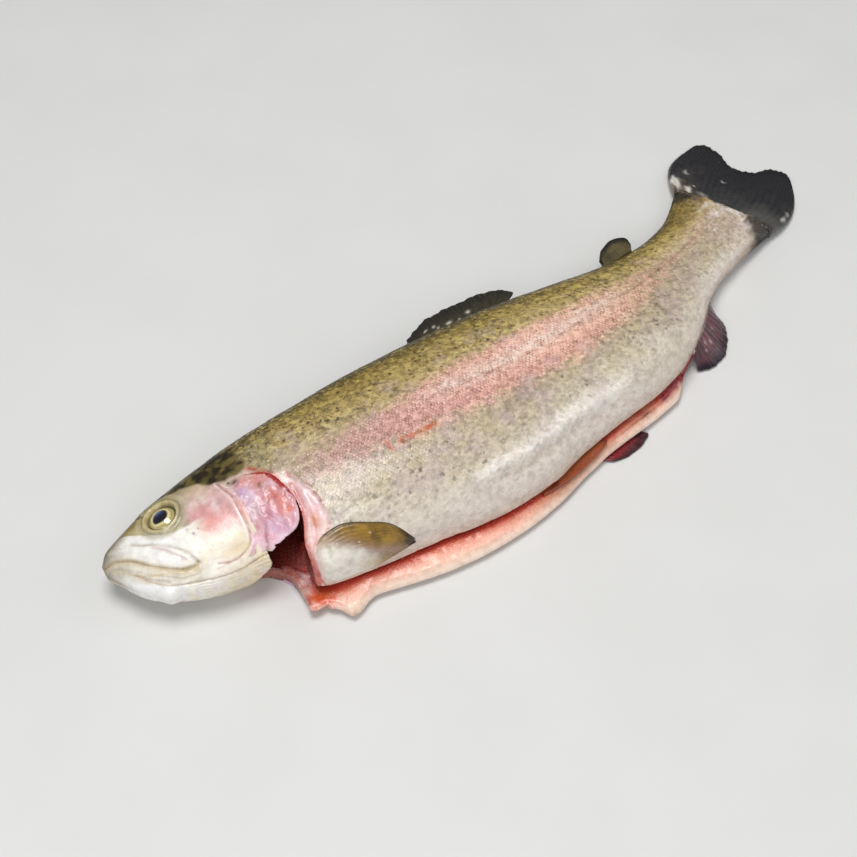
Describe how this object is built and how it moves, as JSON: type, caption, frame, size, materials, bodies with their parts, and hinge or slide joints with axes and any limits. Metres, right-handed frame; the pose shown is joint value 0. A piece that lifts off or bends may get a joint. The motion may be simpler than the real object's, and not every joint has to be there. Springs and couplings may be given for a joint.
{
  "type": "whole gutted trout",
  "caption": "Whole gutted rainbow trout lying on its right side, belly slit open from throat to vent, with eyes, gill covers and fins as separate pieces.",
  "frame": {"origin": "on the surface the fish lies on, under the middle of its box", "axes": "head towards -X, tail towards +X, back towards +Y, opened belly towards -Y, left flank up (+Z)"},
  "size_m": [0.3308, 0.1256, 0.036],
  "materials": {
    "skin": "wet scaly skin, olive back, pink side band, cream belly",
    "eye": "wet, glossy",
    "gill_cover": "wet, pearly pink",
    "dark_fin": "wet membrane",
    "tail_fin": "wet membrane with rays",
    "red_fin": "wet membrane with rays",
    "pectoral_fin": "wet membrane, white at the root and golden brown at the tip",
    "pelvic_fin": "wet membrane"
  },
  "bodies": {
    "root": {"body": "skin", "eye_left": "eye", "eye_right": "eye", "gill_cover_left": "gill_cover", "gill_cover_right": "gill_cover", "dorsal_fin": "dark_fin", "adipose_fin": "dark_fin", "tail_fin": "tail_fin", "anal_fin": "red_fin", "pectoral_fin_left": "pectoral_fin", "pectoral_fin_right": "pectoral_fin", "pelvic_fin_left": "pelvic_fin", "pelvic_fin_right": "pelvic_fin"}
  },
  "joints": []
}
